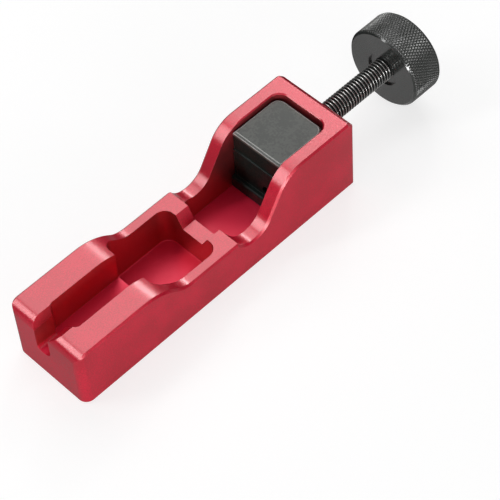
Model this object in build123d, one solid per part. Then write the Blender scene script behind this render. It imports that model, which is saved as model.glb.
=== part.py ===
import os
from math import cos, radians, sin, sqrt, tan

from build123d import *

# Spark plug gap tool, millimetres.
# X runs from the open front lip to the thumbscrew, Z is up, and the origin is
# the middle of the body's underside. The sliding block is drawn nearly all the
# way back, with the thumbscrew backed out.

# Machined body, overall
body_length = 120.4
body_width = 32.0
front_deck_height = 24.7
waist_height = 16.9
tower_height = 30.9
front_corner_radius = 3.2
rear_corner_radius = 1.0
front_top_radius = 4.0
rear_top_chamfer = 2.1
side_chamfer = 0.7
base_chamfer = 0.5

# Top outline, with stations measured from the front face
waist_start = 48.1
waist_end = 67.6
front_brow_radius = 19.8
front_foot_radius = 10.3
front_slope = 39.0
dip_radius = 7.9
dip_height = 12.8
tower_brow_radius = 12.0
tower_slope = 57.9

# Spark plug seat: lip slot, channel, hexagon pocket, thread notch
lip_length = 7.6
lip_slot_left = 4.4
lip_slot_right = -1.9
lip_slot_floor = 11.7
lip_slot_left_radius = 1.2
lip_slot_right_radius = 3.0
lip_flare_floor = 20.8
lip_mouth_width = 11.2
channel_width = 12.9
channel_offset = -0.45
channel_floor = 11.5
channel_corner_radius = 2.0
pocket_start = 35.5
pocket_end = 62.2
pocket_width = 24.7
pocket_corner_radius = 4.0
pocket_floor = 1.5
pocket_floor_fillet = 0.4
notch_floor = 12.0
notch_mouth_width = 14.4
notch_flank_angle = 30.0

# Chamber that the block slides in
chamber_end = 113.8
chamber_width = 22.0
chamber_floor = 3.3
chamber_corner_radius = 3.8
chamber_rim_chamfer = 0.4

# Sliding block
block_front = 92.3
block_rear = 113.0
block_top = 29.0
block_side_gap = 0.25
block_floor_gap = 0.2
block_ledge_depth = 2.1
block_ledge_height = 4.8
block_ledge_chamfer = 0.4
block_band_height = 8.4
block_step_depth = 0.4
block_rear_radius = 3.5
block_edge_chamfer = 0.7
face_hole_radius = 2.0
face_hole_depth = 5.0
face_hole_offset = -4.0
face_hole_height = 10.9

# Thumbscrew, M8 x 1.25, held in the block by a pin across its neck
screw_axis_height = 18.3
screw_radius = 4.0
screw_gap = 0.05
screw_tip = 98.5
socket_end_gap = 0.3
screw_collar_length = 2.5
screw_neck_radius = 2.6
screw_neck_length = 2.7
screw_end_chamfer = 0.8
screw_in_knob = 9.5
screw_hole_chamfer = 0.5
pin_radius = 1.25
pin_gap = 0.1
pin_top = 24.0
pin_recess = 0.3

# Knob on the screw's end
knob_front = 151.2
knob_length = 12.9
knob_radius = 15.0
knob_edge_chamfer = 1.0
knob_relief_radius = 6.2
knob_relief_depth = 0.8

# Room past a face for cutting tools
over = 1.0


# X of a station measured from the front face
def station(distance):
    return distance - body_length / 2


# Point of the side outline
def outline(distance, height):
    return (station(distance), 0, height)


# Arc between two outline points, through the point at an angle round its centre
def outline_arc(start, centre, radius, angle, end):
    middle_x = centre[0] + radius * cos(radians(angle))
    middle_z = centre[1] + radius * sin(radians(angle))
    return ThreePointArc(outline(*start), outline(middle_x, middle_z), outline(*end))


# Fall from the front deck to the waist: arc, straight, arc
def front_curve():
    run = sin(radians(front_slope))
    drop = 1 - cos(radians(front_slope))
    foot_end = (waist_start, waist_height)
    foot = (waist_start - front_foot_radius * run, waist_height + front_foot_radius * drop)
    brow_z = front_deck_height - front_brow_radius * drop
    brow = (foot[0] - (brow_z - foot[1]) / tan(radians(front_slope)), brow_z)
    deck_end = (brow[0] - front_brow_radius * run, front_deck_height)
    brow_centre = (deck_end[0], front_deck_height - front_brow_radius)
    foot_centre = (waist_start, waist_height + front_foot_radius)
    half = front_slope / 2
    return deck_end, [
        outline_arc(deck_end, brow_centre, front_brow_radius, 90 - half, brow),
        Line(outline(*brow), outline(*foot)),
        outline_arc(foot, foot_centre, front_foot_radius, -90 - half, foot_end),
    ]


# Dip behind the waist and rise to the tower: arc, straight, arc
def tower_curve():
    run = sin(radians(tower_slope))
    drop = 1 - cos(radians(tower_slope))
    dip_start = (waist_end, waist_height)
    dip_centre_z = dip_height + dip_radius
    dip_centre_x = waist_end + sqrt(dip_radius**2 - (dip_centre_z - waist_height) ** 2)
    foot = (dip_centre_x + dip_radius * run, dip_height + dip_radius * drop)
    brow_z = tower_height - tower_brow_radius * drop
    brow = (foot[0] + (brow_z - foot[1]) / tan(radians(tower_slope)), brow_z)
    deck_start = (brow[0] + tower_brow_radius * run, tower_height)
    brow_centre = (deck_start[0], tower_height - tower_brow_radius)
    half = tower_slope / 2
    return deck_start, [
        outline_arc(dip_start, (dip_centre_x, dip_centre_z), dip_radius, -90, foot),
        Line(outline(*foot), outline(*brow)),
        outline_arc(brow, brow_centre, tower_brow_radius, 90 + half, deck_start),
    ]


# Side outline of the body as one face on the middle plane
def side_face():
    deck_end, front_edges = front_curve()
    deck_start, tower_edges = tower_curve()
    nose_start = (0, front_deck_height - front_top_radius)
    nose_end = (front_top_radius, front_deck_height)
    nose_centre = (front_top_radius, front_deck_height - front_top_radius)
    heel_start = (body_length - rear_top_chamfer, tower_height)
    heel_end = (body_length, tower_height - rear_top_chamfer)
    edges = [
        outline_arc(nose_start, nose_centre, front_top_radius, 135, nose_end),
        Line(outline(*nose_end), outline(*deck_end)),
        *front_edges,
        Line(outline(waist_start, waist_height), outline(waist_end, waist_height)),
        *tower_edges,
        Line(outline(*deck_start), outline(*heel_start)),
        Line(outline(*heel_start), outline(*heel_end)),
        Line(outline(*heel_end), outline(body_length, 0)),
        Line(outline(body_length, 0), outline(0, 0)),
        Line(outline(0, 0), outline(*nose_start)),
    ]
    return make_face(edges)


# Plan of the body with its rounded upright corners
def plan_prism():
    prism = Box(
        body_length,
        body_width,
        tower_height + over,
        align=(Align.CENTER, Align.CENTER, Align.MIN),
    )
    uprights = prism.edges().filter_by(Axis.Z).group_by(Axis.X)
    prism = fillet(uprights[0], front_corner_radius)
    uprights = prism.edges().filter_by(Axis.Z).group_by(Axis.X)
    prism = fillet(uprights[-1], rear_corner_radius)
    return chamfer(prism.edges().group_by(Axis.Z)[0], base_chamfer)


# Outer form: side outline with chamfered long edges, trimmed to the plan
def body_blank():
    slab = extrude(side_face(), amount=body_width / 2, dir=(0, 1, 0), both=True)
    flanks = slab.faces().filter_by(Axis.Y)
    long_edges = flanks.edges().filter_by(lambda edge: edge.center().Z > base_chamfer)
    long_edges = long_edges.filter_by(Axis.Z, reverse=True)
    return chamfer(long_edges, side_chamfer) & plan_prism()


# Straight-walled pocket between two stations, rounded at the ends asked for
def pocket(start, end, width, floor, radius, offset=0, rear_round=True):
    length = end - start
    hollow = Pos(station(start) + length / 2, offset, floor) * Box(
        length,
        width,
        tower_height + over - floor,
        align=(Align.CENTER, Align.CENTER, Align.MIN),
    )
    uprights = hollow.edges().filter_by(Axis.Z).group_by(Axis.X)
    rounded = uprights[0] + uprights[-1] if rear_round else uprights[0]
    return fillet(rounded, radius)


# Flared groove along X, from two feet on its floor to two lips at its mouth
def flare(start, end, floor, mouth, feet, lips):
    climb = (mouth + over - floor) / (mouth - floor)
    tops = [foot + (lip - foot) * climb for foot, lip in zip(feet, lips)]
    corners = [
        (feet[0], floor),
        (feet[1], floor),
        (tops[1], mouth + over),
        (tops[0], mouth + over),
    ]
    section = Polyline([(station(start), y, z) for y, z in corners], close=True)
    return extrude(make_face(section.edges()), amount=end - start, dir=(1, 0, 0))


# Round rod along X at a height above the underside
def rod(start, end, radius, height, offset=0):
    return Pos(station(start), offset, height) * Rot(0, 90, 0) * Cylinder(
        radius, end - start, align=(Align.CENTER, Align.CENTER, Align.MIN)
    )


# Slot through the front lip: tight left corner, wide right corner, flared mouth
def lip_slot():
    end = lip_length + over
    middle = (lip_slot_left + lip_slot_right) / 2
    slot = Pos(station(-over) + (end + over) / 2, middle, lip_slot_floor) * Box(
        end + over,
        lip_slot_left - lip_slot_right,
        lip_flare_floor - lip_slot_floor,
        align=(Align.CENTER, Align.CENTER, Align.MIN),
    )
    corners = slot.edges().filter_by(Axis.X).group_by(Axis.Z)[0].sort_by(Axis.Y)
    slot = fillet(corners[-1], lip_slot_left_radius)
    corners = slot.edges().filter_by(Axis.X).group_by(Axis.Z)[0].sort_by(Axis.Y)
    slot = fillet(corners[0], lip_slot_right_radius)
    feet = (lip_slot_right, lip_slot_left)
    lips = (-lip_mouth_width / 2, lip_mouth_width / 2)
    return slot + flare(-over, end, lip_flare_floor, front_deck_height, feet, lips)


# Notch in the waist that a plug's 14 mm thread lies in
def thread_notch():
    lip = notch_mouth_width / 2
    foot = lip - tan(radians(notch_flank_angle)) * (waist_height - notch_floor)
    return flare(
        pocket_end - over, waist_end + over, notch_floor, waist_height, (-foot, foot), (-lip, lip)
    )


# Cutter that widens upwards, for the chamfer round the chamber's mouth
def chamber_rim():
    length = chamber_end - waist_end
    middle = station(waist_end) + length / 2
    plan = RectangleRounded(length, chamber_width, chamber_corner_radius)
    plan = Pos(middle, 0, tower_height - chamber_rim_chamfer) * plan
    return extrude(plan, amount=chamber_rim_chamfer + over, taper=-45)


# Body: one machined block with its seat, its chamber and the screw's hole
def make_body():
    hex_pocket = pocket(pocket_start, pocket_end, pocket_width, pocket_floor, pocket_corner_radius)
    hex_pocket = fillet(hex_pocket.edges().group_by(Axis.Z)[0], pocket_floor_fillet)
    channel_end = pocket_start + over
    channel = pocket(
        lip_length,
        channel_end,
        channel_width,
        channel_floor,
        channel_corner_radius,
        channel_offset,
        rear_round=False,
    )
    chamber = pocket(waist_end, chamber_end, chamber_width, chamber_floor, chamber_corner_radius)
    screw_hole = rod(
        chamber_end - over, body_length + over, screw_radius + screw_gap, screw_axis_height
    )
    body = body_blank() - lip_slot() - channel - hex_pocket - thread_notch() - chamber - screw_hole
    mouth = body.edges().filter_by(GeomType.CIRCLE).group_by(Axis.X)[-1]
    return chamfer(mouth, screw_hole_chamfer) - chamber_rim()


# Block outline seen from the side: ledge at the foot, step under the top band
def block_outline():
    bottom = chamber_floor + block_floor_gap
    ledge_top = bottom + block_ledge_height
    band_bottom = block_top - block_band_height
    ledge_front = block_front - block_ledge_depth
    step_front = block_front - block_step_depth
    corners = [
        (ledge_front, bottom),
        (ledge_front, ledge_top),
        (step_front, ledge_top),
        (step_front, band_bottom),
        (block_front, band_bottom),
        (block_front, block_top),
        (block_rear, block_top),
        (block_rear, bottom),
    ]
    return make_face(Polyline([outline(x, z) for x, z in corners], close=True).edges())


# Stations of the screw's neck: end of its collar, start of its thread
def neck_span():
    collar_end = screw_tip + screw_collar_length
    return collar_end, collar_end + screw_neck_length


# Upright pin beside the screw's neck, pushed into the block from below
def make_pin():
    neck_start, neck_end = neck_span()
    pin_y = screw_neck_radius + pin_gap + pin_radius
    bottom = chamber_floor + block_floor_gap + pin_recess
    return Pos(station((neck_start + neck_end) / 2), pin_y, bottom) * Cylinder(
        pin_radius, pin_top - bottom, align=(Align.CENTER, Align.CENTER, Align.MIN)
    )


# Sliding block with the screw's socket, the pin's hole and the small face hole
def make_block():
    half_width = chamber_width / 2 - block_side_gap
    block = extrude(block_outline(), amount=half_width, dir=(0, 1, 0), both=True)
    rear_uprights = block.edges().filter_by(Axis.Z).group_by(Axis.X)[-1]
    block = fillet(rear_uprights, block_rear_radius)
    block = chamfer(block.edges().group_by(Axis.Z)[-1], block_edge_chamfer)
    ledge_front = block.edges().filter_by(Axis.Y).group_by(Axis.X)[0]
    block = chamfer(ledge_front.group_by(Axis.Z)[-1], block_ledge_chamfer)
    socket = rod(
        screw_tip - socket_end_gap, block_rear + over, screw_radius + screw_gap, screw_axis_height
    )
    ledge_station = block_front - block_step_depth
    face_hole = rod(
        ledge_station - over,
        ledge_station + face_hole_depth,
        face_hole_radius,
        face_hole_height,
        face_hole_offset,
    )
    pin_hole = Pos(0, 0, -pin_recess - over) * make_pin() + make_pin()
    return block - socket - face_hole - pin_hole


# Screw: collar and neck inside the block, then one long rod
def make_screw():
    neck_start, neck_end = neck_span()
    rod_end = knob_front + screw_in_knob
    collar = rod(screw_tip, neck_start, screw_radius, screw_axis_height)
    neck = rod(neck_start, neck_end, screw_neck_radius, screw_axis_height)
    thread = rod(neck_end, rod_end, screw_radius, screw_axis_height)
    screw = collar + neck + thread
    tip = screw.edges().filter_by(GeomType.CIRCLE).group_by(Axis.X)[0]
    return chamfer(tip, screw_end_chamfer)


# Knob: one turned wheel, bored for the screw and relieved round it
def make_knob():
    knob = rod(knob_front, knob_front + knob_length, knob_radius, screw_axis_height)
    knob = chamfer(knob.edges().filter_by(GeomType.CIRCLE), knob_edge_chamfer)
    bore = rod(knob_front - over, knob_front + screw_in_knob, screw_radius, screw_axis_height)
    relief = rod(
        knob_front - over, knob_front + knob_relief_depth, knob_relief_radius, screw_axis_height
    )
    return knob - bore - relief


def save(shape, node):
    export_step(shape, os.path.join("parts", node + ".step"))


os.makedirs("parts", exist_ok=True)
save(make_body(), "body")
save(make_block(), "sliding_block")
save(make_pin(), "retaining_pin")
save(make_screw(), "screw")
save(make_knob(), "knob")
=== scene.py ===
# Spark plug gap tool: red machined body, black sliding block, threaded screw
# and knurled knob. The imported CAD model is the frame; everything is in metres.
import math

import bmesh
import bpy
import numpy as np
from mathutils import Matrix, Quaternion, Vector


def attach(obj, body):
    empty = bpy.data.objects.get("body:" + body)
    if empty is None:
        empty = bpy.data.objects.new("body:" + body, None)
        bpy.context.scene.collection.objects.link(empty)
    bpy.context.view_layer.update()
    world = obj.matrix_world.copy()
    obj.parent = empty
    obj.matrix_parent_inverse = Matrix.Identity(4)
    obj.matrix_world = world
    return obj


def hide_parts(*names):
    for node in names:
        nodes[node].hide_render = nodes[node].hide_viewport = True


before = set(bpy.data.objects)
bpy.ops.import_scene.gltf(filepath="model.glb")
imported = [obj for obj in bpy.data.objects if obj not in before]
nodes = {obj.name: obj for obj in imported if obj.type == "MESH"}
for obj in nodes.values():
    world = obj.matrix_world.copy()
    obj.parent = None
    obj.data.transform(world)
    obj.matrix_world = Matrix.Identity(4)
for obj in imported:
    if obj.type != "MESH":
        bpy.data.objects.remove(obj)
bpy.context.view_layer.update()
print("frame loaded with", len(nodes), "CAD nodes")

mm = 0.001
bodyHalf = 60.2        # half the body's length: stations start at its front face
axisHeight = 18.3      # height of the screw's axis


# Mesh object from whole arrays, with coinciding points merged, so rings that
# shrink to a point or to a flat end close by themselves
def weldedObject(name, points, faces, sharpAngle):
    mesh = bpy.data.meshes.new(name)
    mesh.from_pydata(points.tolist(), [], faces.tolist())
    work = bmesh.new()
    work.from_mesh(mesh)
    bmesh.ops.remove_doubles(work, verts=work.verts, dist=2e-6)
    bmesh.ops.dissolve_degenerate(work, edges=work.edges, dist=1e-6)
    bmesh.ops.recalc_face_normals(work, faces=work.faces)
    work.to_mesh(mesh)
    work.free()
    mesh.shade_smooth()
    mesh.set_sharp_from_angle(angle=math.radians(sharpAngle))
    obj = bpy.data.objects.new(name, mesh)
    bpy.context.scene.collection.objects.link(obj)
    return obj


# Point grid round the screw's axis: station and radius (mm) for each row and
# column, so x = station, y = radius sin(angle), z = axis height + radius cos(angle)
def turnedGrid(station, radius, angle):
    station, radius, angle = np.broadcast_arrays(station, radius, angle)
    return np.stack([
        (station - bodyHalf) * mm,
        radius * np.sin(angle) * mm,
        (axisHeight + radius * np.cos(angle)) * mm,
    ], axis=-1)


# Plain turned rings: one row of (station, radius) for each ring
def turnedRings(rings, angle):
    rings = np.array(rings)
    return turnedGrid(rings[:, :1], rings[:, 1:], angle)


# Quads of a grid whose last column joins its first, a given number of rows on
def turnedFaces(rows, columns, shift=0):
    row = np.arange(rows - 1)[:, None]
    column = np.arange(columns)[None, :]
    last = column == columns - 1
    nextColumn = np.where(last, 0, column + 1)
    nextRow = row + np.where(last, shift, 0)
    row, column, nextRow, nextColumn = np.broadcast_arrays(row, column, nextRow, nextColumn)
    quads = np.stack([
        row * columns + column,
        nextRow * columns + nextColumn,
        (nextRow + 1) * columns + nextColumn,
        (row + 1) * columns + column,
    ], axis=-1).reshape(-1, 4)
    return quads[quads.max(axis=1) < rows * columns]


# Grids put in one list of points, each closed with its own shift of rows: a grid's
# quads count on from the points of the grids before it
def joinedGrids(grids, shifts):
    points, faces, start = [], [], 0
    for grid, shift in zip(grids, shifts):
        points.append(grid.reshape(-1, 3))
        faces.append(turnedFaces(grid.shape[0], grid.shape[1], shift) + start)
        start += points[-1].shape[0]
    return np.concatenate(points), np.concatenate(faces)


# Screw: turned collar and neck, then an M8 x 1.25 thread up to its end
screwShape = {
    "pitch": 1.25,
    "crest": 3.97,
    "root": 3.22,
    # fractions of a pitch, and how high the thread stands there, root 0 to crest 1
    "profile": ((0.0, 0.93), (0.04, 1.0), (0.14, 1.0), (0.18, 0.93), (0.46, 0.08), (0.56, 0.0), (0.72, 0.0)),
    "runout": 0.9,         # rise of the thread per length at both its ends
    "threadStart": 103.7,
    "threadEnd": 160.7,
    "tip": 98.5,
    "tipChamfer": 0.8,
    "collar": 4.0,
    "collarEnd": 101.0,
    "neck": 2.6,
    "columns": 64,
    "sharpAngle": 40,
}


# Thread radius is a trapezoid of the fraction of a pitch, and every point slides
# along the axis by pitch x angle / full turn, so the rows run as right-hand helices
def makeScrew(s):
    angle = np.arange(s["columns"])[None, :] * 2 * np.pi / s["columns"]
    profile = np.array(s["profile"])
    turns = int(np.ceil((s["threadEnd"] - s["threadStart"]) / s["pitch"])) + 2
    along = (np.arange(turns)[:, None] + profile[None, :, 0]).ravel() - 1
    stands = np.tile(profile[:, 1], turns)
    station = s["threadStart"] + s["pitch"] * (along[:, None] + angle / (2 * np.pi))
    station = np.clip(station, s["threadStart"], s["threadEnd"])
    radius = s["root"] + (s["crest"] - s["root"]) * stands[:, None]
    ends = np.minimum(station - s["threadStart"], s["threadEnd"] - station)
    radius = np.minimum(radius, s["root"] + s["runout"] * ends)
    thread = turnedGrid(station, radius, angle)
    front = turnedRings([
        [s["tip"], 0.0],
        [s["tip"], s["collar"] - s["tipChamfer"]],
        [s["tip"] + s["tipChamfer"], s["collar"]],
        [s["collarEnd"], s["collar"]],
        [s["collarEnd"], s["neck"]],
        [s["threadStart"], s["neck"]],
        [s["threadStart"], s["root"]],
    ], angle)
    rear = turnedRings([[s["threadEnd"], s["root"]], [s["threadEnd"], 0.0]], angle)
    points, faces = joinedGrids((thread, front, rear), (len(profile), 0, 0))
    return weldedObject("threadedScrew", points, faces, s["sharpAngle"])


# Knob: a turned wheel with a diamond knurl round it
knobShape = {
    "front": 151.2,
    "length": 12.9,
    "radius": 15.0,
    "chamfer": 1.0,
    "starts": 86,          # grooves of one family, counted round the knob
    "helix": 30.0,         # degrees between a groove and the axis
    "depth": 0.40,
    "tipFlat": 0.85,       # height of the waves above which the tips are flat
    "perStart": 8,         # points round the knob for each groove
    "reliefRadius": 6.2,
    "reliefDepth": 0.8,
    "reliefChamfer": 0.15,
    "boreRadius": 4.0,
    "boreEnd": 160.7,
    "sharpAngle": 35,
}


# Two families of grooves run at the helix angle to the axis, one to each side; the
# height of a point is the smaller of two triangle waves, one for each family, and
# flat at its tips. The radius is the smaller of the knurl's and the end chamfers'
def makeKnob(k):
    columns = k["starts"] * k["perStart"]
    angle = np.arange(columns)[None, :] * 2 * np.pi / columns
    around = 2 * np.pi * k["radius"]
    lean = math.tan(math.radians(k["helix"]))
    # so many rows that the grooves run along the diagonals of the quads
    rows = int(round(k["length"] * lean * columns / around))
    along = np.linspace(0, k["length"], rows + 1)[:, None]
    turned = angle * k["starts"] / (2 * np.pi)
    moved = along * lean * k["starts"] / around
    waveA = 1 - np.abs(2 * ((turned + moved) % 1) - 1)
    waveB = 1 - np.abs(2 * ((turned - moved) % 1) - 1)
    height = np.minimum(np.minimum(waveA, waveB) / k["tipFlat"], 1.0)
    knurl = k["radius"] - k["depth"] * (1 - height)
    rim = k["radius"] - k["chamfer"]
    radius = np.minimum(knurl, rim + np.minimum(along, k["length"] - along))
    front, rear = k["front"], k["front"] + k["length"]
    band = turnedGrid(front + along, radius, angle)
    # front face with the relief round the screw and the blind bore, then the back
    inner = turnedRings([
        [k["boreEnd"], 0.0],
        [k["boreEnd"], k["boreRadius"]],
        [front + k["reliefDepth"], k["boreRadius"]],
        [front + k["reliefDepth"], k["reliefRadius"]],
        [front + k["reliefChamfer"], k["reliefRadius"]],
        [front, k["reliefRadius"] + k["reliefChamfer"]],
        [front, rim],
    ], angle)
    back = turnedRings([[rear, rim], [rear, 0.0]], angle)
    points, faces = joinedGrids((inner, band, back), (0, 0, 0))
    return weldedObject("knurledKnob", points, faces, k["sharpAngle"])


screw = makeScrew(screwShape)
knob = makeKnob(knobShape)
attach(screw, "thumbscrew")
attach(knob, "thumbscrew")
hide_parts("screw")
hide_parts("knob")
print("screw and knob made:", len(screw.data.polygons), "and", len(knob.data.polygons), "faces")


# Node group with named inputs and outputs; sockets are (name, type, default)
def shaderGroup(name, inputs, outputs):
    group = bpy.data.node_groups.new(name, "ShaderNodeTree")
    for label, kind, value in inputs:
        socket = group.interface.new_socket(name=label, in_out="INPUT", socket_type=kind)
        socket.default_value = value
    for label, kind in outputs:
        group.interface.new_socket(name=label, in_out="OUTPUT", socket_type=kind)
    return group, group.nodes.new("NodeGroupInput"), group.nodes.new("NodeGroupOutput")


# Group with one mask: 0 at its first input, 1 at its second, straight or smooth
# between, as the value of a given output passes from one to the other
def maskGroup(name, first, second, makeValue, interpolation="LINEAR"):
    inputs = [(label, "NodeSocketFloat", value) for label, value in (first, second)]
    group, given, out = shaderGroup(name, inputs, [("Mask", "NodeSocketFloat")])
    climb = group.nodes.new("ShaderNodeMapRange")
    climb.interpolation_type = interpolation
    group.links.new(makeValue(group), climb.inputs["Value"])
    group.links.new(given.outputs[first[0]], climb.inputs["From Min"])
    group.links.new(given.outputs[second[0]], climb.inputs["From Max"])
    group.links.new(climb.outputs["Result"], out.inputs["Mask"])
    return group


# A maths node with its inputs linked or set
def maths(tree, operation, first, second=None, clamp=False):
    node = tree.nodes.new("ShaderNodeMath")
    node.operation = operation
    node.use_clamp = clamp
    for index, value in enumerate((first, second)):
        if value is None:
            continue
        if isinstance(value, (int, float)):
            node.inputs[index].default_value = value
        else:
            tree.links.new(value, node.inputs[index])
    return node.outputs[0]


# Z part of one of the Texture Coordinate node's outputs
def upPart(tree, output):
    place = tree.nodes.new("ShaderNodeTexCoord")
    split = tree.nodes.new("ShaderNodeSeparateXYZ")
    tree.links.new(place.outputs[output], split.inputs[0])
    return split.outputs["Z"]


# Edge mask: how far the surface normal, averaged over a small round, leans away
# from the true one. It is 1 on outer edges and inner corners, 0 on flat faces.
# The mask sets where a painted highlight goes along the edges; the averaged normal
# rounds the edges for the bump
def edgeGroup():
    group, given, out = shaderGroup(
        "edgeMask",
        [("Strength", "NodeSocketFloat", 6.0), ("Radius", "NodeSocketFloat", 0.0002)],
        [("Mask", "NodeSocketFloat"), ("Normal", "NodeSocketVector")],
    )
    links = group.links
    bevel = group.nodes.new("ShaderNodeBevel")
    bevel.samples = 6
    links.new(given.outputs["Radius"], bevel.inputs["Radius"])
    geometry = group.nodes.new("ShaderNodeNewGeometry")
    dot = group.nodes.new("ShaderNodeVectorMath")
    dot.operation = "DOT_PRODUCT"
    links.new(bevel.outputs["Normal"], dot.inputs[0])
    links.new(geometry.outputs["Normal"], dot.inputs[1])
    lean = maths(group, "SUBTRACT", 1.0, dot.outputs["Value"], clamp=True)
    mask = maths(group, "MULTIPLY", lean, given.outputs["Strength"], clamp=True)
    links.new(mask, out.inputs["Mask"])
    links.new(bevel.outputs["Normal"], out.inputs["Normal"])
    return group


# Blasted grain: fine noise for the bump and broad noise for tone, both 0 to 1
def grainGroup():
    group, given, out = shaderGroup(
        "blastGrain",
        [("Fine", "NodeSocketFloat", 5000.0), ("Broad", "NodeSocketFloat", 60.0)],
        [("Height", "NodeSocketFloat"), ("Tone", "NodeSocketFloat")],
    )
    links = group.links
    place = group.nodes.new("ShaderNodeTexCoord")
    for label, target, detail in (("Fine", "Height", 2.0), ("Broad", "Tone", 4.0)):
        noise = group.nodes.new("ShaderNodeTexNoise")
        noise.inputs["Detail"].default_value = detail
        links.new(place.outputs["Object"], noise.inputs["Vector"])
        links.new(given.outputs[label], noise.inputs["Scale"])
        links.new(noise.outputs["Fac"], out.inputs[target])
    return group


# Share of the sky over a point, within 30 mm, that the piece itself leaves open
def openSky(group):
    hidden = group.nodes.new("ShaderNodeAmbientOcclusion")
    hidden.samples = 8
    hidden.only_local = True
    hidden.inputs["Distance"].default_value = 30 * mm
    return hidden.outputs["AO"]


# Distance from the screw's axis: length of (y, z - axis height)
def axisDistance(group):
    place = group.nodes.new("ShaderNodeTexCoord")
    flat = group.nodes.new("ShaderNodeVectorMath")
    flat.operation = "MULTIPLY_ADD"
    flat.inputs[1].default_value = (0, 1, 1)
    flat.inputs[2].default_value = (0, 0, -axisHeight * mm)
    group.links.new(place.outputs["Object"], flat.inputs[0])
    length = group.nodes.new("ShaderNodeVectorMath")
    length.operation = "LENGTH"
    group.links.new(flat.outputs["Vector"], length.inputs[0])
    return length.outputs["Value"]


edgeMask = edgeGroup()
blastGrain = grainGroup()
# 0 on open faces, 1 deep in a pocket
cavityMask = maskGroup("cavityMask", ("Open", 0.9), ("Deep", 0.4), openSky)
# 1 where a face looks up, 0 where it is upright or looks down
upwardMask = maskGroup("upwardMask", ("Upright", 0.2), ("Level", 0.8), lambda group: upPart(group, "Normal"))
# 0 below one height of the piece, 1 above another
heightMask = maskGroup(
    "heightMask", ("Low", 0.0), ("High", 1.0), lambda group: upPart(group, "Object"), "SMOOTHSTEP",
)
# 0 near the screw's axis, 1 farther from it
reachMask = maskGroup("reachMask", ("Near", 0.0), ("Far", 1.0), axisDistance)


# New node-based material and its Principled shader
def newMaterial(name):
    material = bpy.data.materials.new(name)
    material.use_nodes = True
    tree = material.node_tree
    return material, tree, tree.nodes["Principled BSDF"]


# Colour mix between two values by a factor output
def mixColour(tree, factor, first, second):
    node = tree.nodes.new("ShaderNodeMix")
    node.data_type = "RGBA"
    tree.links.new(factor, node.inputs["Factor"])
    for socket, value in (("A", first), ("B", second)):
        target = [s for s in node.inputs if s.name == socket and s.type == "RGBA"][0]
        if isinstance(value, tuple):
            target.default_value = (*value, 1.0)
        else:
            tree.links.new(value, target)
    return [s for s in node.outputs if s.type == "RGBA"][0]


# A value that runs from low to high with a 0 to 1 mask
def spread(tree, mask, low, high):
    return maths(tree, "ADD", maths(tree, "MULTIPLY", mask, high - low), low)


# The rest of a mask: 1 less the mask
def rest(tree, mask):
    return maths(tree, "SUBTRACT", 1.0, mask)


# A node group placed in a material with its own values
def groupNode(tree, group, **values):
    node = tree.nodes.new("ShaderNodeGroup")
    node.node_tree = group
    for label, value in values.items():
        node.inputs[label].default_value = value
    return node


# Mask of a group between two values of a pair
def pairMask(tree, group, labels, pair):
    return groupNode(tree, group, **dict(zip(labels, pair))).outputs["Mask"]


# Grain that all metals share: where its mottle starts, how fast it grows, bump height
grainShare = {
    "mottleStart": 0.92,
    "mottleGain": 6.0,
    "bumpHeight": 0.04 * mm,
}


# Metal with a blasted or brushed skin: tone and roughness follow the sum of the
# broad and the fine noise, and the bump is the fine grain on rounded edges.
# Gives the material, its tree, its shader, the tone and the edge mask, which the
# materials use for a painted highlight along edges
def metalSkin(name, look):
    material, tree, shader = newMaterial(name)
    links = tree.links
    grain = groupNode(tree, blastGrain, Fine=look["grainScale"], Broad=look["toneScale"])
    edge = groupNode(tree, edgeMask, Strength=look["edgeStrength"], Radius=look["edgeRadius"])
    both = maths(tree, "ADD", grain.outputs["Tone"], grain.outputs["Height"])
    started = maths(tree, "SUBTRACT", both, grainShare["mottleStart"])
    mottled = maths(tree, "MULTIPLY", started, grainShare["mottleGain"], clamp=True)
    toned = mixColour(tree, mottled, look["dark"], look["light"])
    links.new(spread(tree, mottled, *look["roughness"]), shader.inputs["Roughness"])
    bump = tree.nodes.new("ShaderNodeBump")
    bump.inputs["Strength"].default_value = look["bump"]
    bump.inputs["Distance"].default_value = grainShare["bumpHeight"]
    links.new(grain.outputs["Height"], bump.inputs["Height"])
    links.new(edge.outputs["Normal"], bump.inputs["Normal"])
    links.new(bump.outputs["Normal"], shader.inputs["Normal"])
    shader.inputs["Metallic"].default_value = look["metallic"]
    shader.inputs["Specular IOR Level"].default_value = look["specular"]
    shader.inputs["Coat Weight"].default_value = look["coat"]
    shader.inputs["Coat IOR"].default_value = look["coatIor"]
    shader.inputs["Coat Roughness"].default_value = look["coatRoughness"]
    return material, tree, shader, toned, edge.outputs["Mask"]


# Body: red anodised over blasted aluminium, pockets milled after the blasting; the
# pocket floors are painted a brighter red as painted light, and edges get a painted
# highlight
redLook = {
    "dark": (0.63, 0.0018, 0.027),
    "light": (0.78, 0.0030, 0.039),
    # colour of the painted highlight, lighter and pinker, along the edges
    "edge": (0.84, 0.05, 0.08),
    "edgeStrength": 3.0,
    "edgeRadius": 0.00022,
    "roughness": (0.36, 0.44),
    "grainScale": 2300.0,
    "toneScale": 60.0,
    "bump": 1.0,
    "metallic": 0.3,
    "specular": 0.5,
    "coat": 1.0,
    "coatIor": 1.8,
    "coatRoughness": 0.25,
    "wall": (0.60, 0.095, 0.100),
    # floor colour is painted light: the low floors are made a brighter red as if better lit
    "floor": (0.99, 0.018, 0.078),
    "wallMetallic": 0.92,
    "floorMetallic": 0.35,
    "milledCoat": 0.12,
    "cavity": (0.9, 0.65),            # open sky over an outer face and in a pocket
    "facing": (0.1, 0.45),            # z of the normal of a wall and of a floor
    "floorTop": (0.0116, 0.0119),     # heights between which the floor skin ends
}
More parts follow.
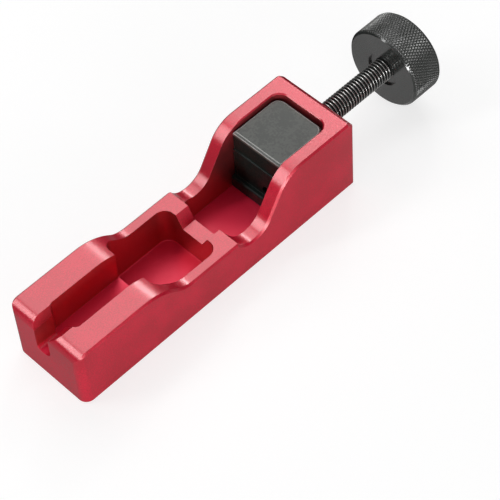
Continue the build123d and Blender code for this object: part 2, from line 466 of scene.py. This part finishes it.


# Walls are hollow places that don't look up, floors look up and lie low. Walls are
# nearly bare metal that mirrors what stands before it; both have a thinner coat.
# Floors are painted a brighter red as painted light, and edges get a painted highlight
def makeRed(look):
    material, tree, shader, toned, edge = metalSkin("redAnodised", look)
    # painted highlight along the edges
    skinWithPaintedEdges = mixColour(tree, edge, toned, look["edge"])
    hollow = pairMask(tree, cavityMask, ("Open", "Deep"), look["cavity"])
    upward = pairMask(tree, upwardMask, ("Upright", "Level"), look["facing"])
    high = pairMask(tree, heightMask, ("Low", "High"), look["floorTop"])
    walls = maths(tree, "MULTIPLY", hollow, rest(tree, upward))
    floors = maths(tree, "MULTIPLY", upward, rest(tree, high))
    milled = maths(tree, "MAXIMUM", walls, floors)
    # painted light: the floors get the brighter red
    redder = mixColour(tree, floors, skinWithPaintedEdges, look["floor"])
    tree.links.new(mixColour(tree, walls, redder, look["wall"]), shader.inputs["Base Color"])
    skin = spread(tree, floors, look["metallic"], look["floorMetallic"])
    lift = maths(tree, "MULTIPLY", walls, maths(tree, "SUBTRACT", look["wallMetallic"], skin))
    tree.links.new(maths(tree, "ADD", skin, lift), shader.inputs["Metallic"])
    tree.links.new(spread(tree, milled, look["coat"], look["milledCoat"]), shader.inputs["Coat Weight"])
    return material


# Sliding block: black, its top blasted and the faces below it smooth and painted
# darker as shade
blockLook = {
    "dark": (0.058, 0.063, 0.056),
    "light": (0.094, 0.100, 0.090),
    # colour of the painted highlight, near white, along the block's edges
    "edge": (0.80, 0.80, 0.78),
    # colour of the faces below the top: painted shade, much darker than the top
    "paintedShadeBelow": (0.007, 0.016, 0.014),
    "smoothCoat": 0.0,
    # share of the painted edge highlight that the faces below the top keep
    "smoothEdge": 0.03,
    # these heights also end the painted shade below the top
    "blastedTop": (0.0268, 0.0276),   # heights between which the blasted top starts
    "edgeStrength": 14.0,
    "edgeRadius": 0.0005,
    "roughness": (0.34, 0.48),
    "grainScale": 1300.0,
    "toneScale": 220.0,
    "bump": 1.0,
    "metallic": 0.0,
    "specular": 0.15,
    "coat": 0.6,
    "coatIor": 1.5,
    "coatRoughness": 0.3,
}


# The blasted tone, the coat and the painted edge highlight fade in with the height
# mask; below it the faces keep the painted shade
def makeBlack(look):
    material, tree, shader, toned, edge = metalSkin("blackBlock", look)
    top = pairMask(tree, heightMask, ("Low", "High"), look["blastedTop"])
    # painted shade on the faces below the top, the blasted tone above
    paintedShadeBelow = mixColour(tree, top, look["paintedShadeBelow"], toned)
    # painted edge highlight, faint below the top
    paintedHighlightMask = maths(tree, "MULTIPLY", edge, spread(tree, top, look["smoothEdge"], 1.0))
    tree.links.new(mixColour(tree, paintedHighlightMask, paintedShadeBelow, look["edge"]), shader.inputs["Base Color"])
    tree.links.new(spread(tree, top, look["smoothCoat"], look["coat"]), shader.inputs["Coat Weight"])
    return material


# Pin, screw and knob: one steel-like finish, and what each has of its own
steelLook = {
    # colour of the painted highlight along the edges
    "edge": (0.30, 0.30, 0.29),
    "edgeStrength": 5.0,
    "edgeRadius": 0.0001,
    "roughness": (0.20, 0.32),
    "grainScale": 3000.0,
    "toneScale": 200.0,
    "bump": 0.15,
    "specular": 0.5,
    "coat": 0.5,
    "coatIor": 1.5,
    "coatRoughness": 0.15,
}
pinLook = {
    **steelLook,
    "dark": (0.42, 0.42, 0.42),
    "light": (0.5, 0.5, 0.5),
    # colour of the painted highlight along the pin's edges
    "edge": (0.6, 0.6, 0.6),
    "metallic": 1.0,
}
screwLook = {
    **steelLook,
    "dark": (0.008, 0.009, 0.009),
    "light": (0.014, 0.015, 0.014),
    "crest": (0.78, 0.79, 0.77),
    "reach": (0.00380, 0.00397),      # distances from the axis where wear starts and is full
    "metallic": 0.0,
    "coat": 0.05,
}
knobLook = {
    **steelLook,
    "dark": (0.027, 0.030, 0.028),
    "light": (0.037, 0.040, 0.038),
    "crest": (0.27, 0.27, 0.26),
    "reach": (0.01480, 0.01498),
    "roughness": (0.16, 0.24),
    "bump": 0.06,
    "metallic": 0.1,
    "coat": 0.85,
    "coatIor": 1.6,
    "coatRoughness": 0.12,
}


# Edges get a painted highlight. Thread crests and knurl tips are worn to bare metal
# by the reach mask, where the look has them, and the grooves stay black
def makeSteel(name, look):
    material, tree, shader, toned, edge = metalSkin(name, look)
    # painted highlight along the edges
    skinWithPaintedEdges = mixColour(tree, edge, toned, look["edge"])
    if "crest" in look:
        crest = pairMask(tree, reachMask, ("Near", "Far"), look["reach"])
        skinWithPaintedEdges = mixColour(tree, crest, skinWithPaintedEdges, look["crest"])
        tree.links.new(spread(tree, crest, look["metallic"], 1.0), shader.inputs["Metallic"])
    tree.links.new(skinWithPaintedEdges, shader.inputs["Base Color"])
    return material


for nodeName, material in (
    ("body", makeRed(redLook)),
    ("sliding_block", makeBlack(blockLook)),
    ("retaining_pin", makeSteel("groundPin", pinLook)),
):
    nodes[nodeName].data.materials.clear()
    nodes[nodeName].data.materials.append(material)
screw.data.materials.append(makeSteel("blackThread", screwLook))
knob.data.materials.append(makeSteel("blackKnob", knobLook))
print("materials made")


# Floor, world and lamps
studio = {
    "floorHalf": 3.0,
    "floorDrop": 0.00002,
    "floorTone": 0.95,
    "shadowShare": 0.35,
    "paperGlow": 0.735,
    "behind": (0.66, 0.75, 0.0),      # direction that counts as behind the object
    "rampLength": 0.2,                # distance that the whole ramp covers
    # how much of the paper is mirrored, by its distance behind the object
    "mirroredShare": ((0.015, 0.17), (0.060, 0.42), (0.070, 0.42), (0.088, 0.02)),
    # grey of the sky by the height of the direction, 0 level to 1 straight up
    "skyTones": ((0.0, 0.0), (0.42, 0.02), (0.55, 0.3), (0.75, 0.3), (0.9, 0.3)),
    "lampAim": (0.02, 0, 0.01),
    "lampDistance": 0.9,
}
# Softboxes: azimuth and elevation (degrees), width and height (m), tilt (degrees)
# and radiance
softboxes = {
    "backRightSoftbox": (125, 37.7, 0.15, 0.15, 0, 9.0),
    "ceilingSoftbox": (141, 56, 0.80, 0.80, 0, 1.35),
    "backLeftStrip": (-127.6, 42, 0.14, 0.72, 27, 5.6),
    "sideSoftbox": (-14, 11, 0.70, 0.30, 0, 5.0),
    "cornerStrip": (-56, 5, 0.40, 0.10, 0, 22.0),
}


# Ramp of greys, eased between its (position, tone) stops
def greyRamp(tree, tones):
    ramp = tree.nodes.new("ShaderNodeValToRGB")
    ramp.color_ramp.interpolation = "EASE"
    stops = ramp.color_ramp.elements
    while len(stops) < len(tones):
        stops.new(0.5)
    for stop, (position, tone) in zip(stops, tones):
        stop.position = position
        stop.color = (tone, tone, tone, 1.0)
    return ramp


# Flat square sheet of paper just under the object. To the lamps it is a plain pale
# floor. The camera sees white paper that keeps a soft shadow, and so does glass,
# while mirrored rays see a share of it by its distance behind the object: the paper
# is brightest under the knob and ends beyond it
def makeFloor(s):
    half, drop = s["floorHalf"], s["floorDrop"]
    corners = [[-half, -half, -drop], [half, -half, -drop], [half, half, -drop], [-half, half, -drop]]
    mesh = bpy.data.meshes.new("paperFloor")
    mesh.from_pydata(corners, [], [[0, 1, 2, 3]])
    floor = bpy.data.objects.new("paperFloor", mesh)
    bpy.context.scene.collection.objects.link(floor)
    material, tree, shader = newMaterial("palePaper")
    links = tree.links
    path = tree.nodes.new("ShaderNodeLightPath")
    place = tree.nodes.new("ShaderNodeTexCoord")
    behind = tree.nodes.new("ShaderNodeVectorMath")
    behind.operation = "DOT_PRODUCT"
    behind.inputs[1].default_value = s["behind"]
    links.new(place.outputs["Object"], behind.inputs[0])
    share = greyRamp(tree, [(distance / s["rampLength"], tone) for distance, tone in s["mirroredShare"]])
    links.new(maths(tree, "DIVIDE", behind.outputs["Value"], s["rampLength"]), share.inputs["Fac"])
    mirrored = maths(tree, "MULTIPLY", path.outputs["Is Glossy Ray"], share.outputs["Color"])
    direct = maths(tree, "MAXIMUM", path.outputs["Is Camera Ray"], path.outputs["Is Transmission Ray"])
    seen = maths(tree, "MAXIMUM", direct, mirrored)
    plain = tree.nodes.new("ShaderNodeBsdfDiffuse")
    bounce = rest(tree, path.outputs["Is Glossy Ray"])
    links.new(maths(tree, "MULTIPLY", bounce, s["floorTone"]), plain.inputs["Color"])
    shade = tree.nodes.new("ShaderNodeBsdfDiffuse")
    shade.inputs["Color"].default_value = (*[s["shadowShare"]] * 3, 1.0)
    glow = tree.nodes.new("ShaderNodeEmission")
    glow.inputs["Strength"].default_value = s["paperGlow"]
    paper = tree.nodes.new("ShaderNodeAddShader")
    links.new(shade.outputs[0], paper.inputs[0])
    links.new(glow.outputs[0], paper.inputs[1])
    both = tree.nodes.new("ShaderNodeMixShader")
    links.new(seen, both.inputs["Fac"])
    links.new(plain.outputs[0], both.inputs[1])
    links.new(paper.outputs[0], both.inputs[2])
    links.new(both.outputs[0], tree.nodes["Material Output"].inputs["Surface"])
    tree.nodes.remove(shader)
    mesh.materials.append(material)


# Room light by the direction's height: dark low down, a dim even grey above
def makeWorld(s):
    world = bpy.data.worlds.new("softRoom")
    bpy.context.scene.world = world
    world.use_nodes = True
    tree = world.node_tree
    ramp = greyRamp(tree, s["skyTones"])
    tree.links.new(upPart(tree, "Generated"), ramp.inputs["Fac"])
    tree.links.new(ramp.outputs["Color"], tree.nodes["Background"].inputs["Color"])


# Direction from the object: azimuth turns from the near long side towards the
# knob, elevation lifts it, so (sin a cos e, -cos a cos e, sin e)
def towards(azimuth, elevation):
    a, e = math.radians(azimuth), math.radians(elevation)
    return Vector((math.sin(a) * math.cos(e), -math.cos(a) * math.cos(e), math.sin(e)))


# Rectangular lamp that faces the object from a direction. Its power is
# radiance x pi x area, so that its face is as bright as the radiance
def makeLamp(name, s, azimuth, elevation, width, height, tilt, radiance):
    lamp = bpy.data.lights.new(name, "AREA")
    lamp.shape = "RECTANGLE"
    lamp.size = width
    lamp.size_y = height
    lamp.energy = radiance * math.pi * width * height
    obj = bpy.data.objects.new(name, lamp)
    bpy.context.scene.collection.objects.link(obj)
    away = towards(azimuth, elevation)
    obj.location = Vector(s["lampAim"]) + away * s["lampDistance"]
    turn = away.to_track_quat("Z", "Y") @ Quaternion((0, 0, 1), math.radians(tilt))
    obj.rotation_euler = turn.to_euler()


makeFloor(studio)
makeWorld(studio)
for lampName, softbox in softboxes.items():
    makeLamp(lampName, studio, *softbox)

# Camera fitted to the body's corners in the photograph: degrees and millimetres
cameraView = {
    "azimuth": -41.32,
    "elevation": 52.84,
    "roll": -4.743,
    "distance": 648.9,
    "lens": 146.45,
    "sensor": 36.0,
    "aim": (-0.2, 0.0, 10.0),
    "right": 19.786,
    "up": -1.707,
    "clip": (0.01, 20.0),
}


# The camera stands at aim + right and up offsets + distance along its own axis,
# with its level turned by the roll
def makeCamera(c):
    back = towards(c["azimuth"], c["elevation"])
    azimuth, roll = math.radians(c["azimuth"]), math.radians(c["roll"])
    level = Vector((math.cos(azimuth), math.sin(azimuth), 0))
    rise = back.cross(level)
    right = level * math.cos(roll) + rise * math.sin(roll)
    up = rise * math.cos(roll) - level * math.sin(roll)
    spot = Vector(c["aim"]) + right * c["right"] + up * c["up"] + back * c["distance"]
    data = bpy.data.cameras.new("photoCamera")
    data.sensor_width = c["sensor"]
    data.lens = c["lens"]
    data.clip_start, data.clip_end = c["clip"]
    camera = bpy.data.objects.new("photoCamera", data)
    bpy.context.scene.collection.objects.link(camera)
    turn = Matrix((right, up, back)).transposed().to_4x4()
    camera.matrix_world = Matrix.Translation(spot * mm) @ turn
    bpy.context.scene.camera = camera


makeCamera(cameraView)
bpy.context.scene.view_settings.view_transform = "Standard"
print("studio and camera made")
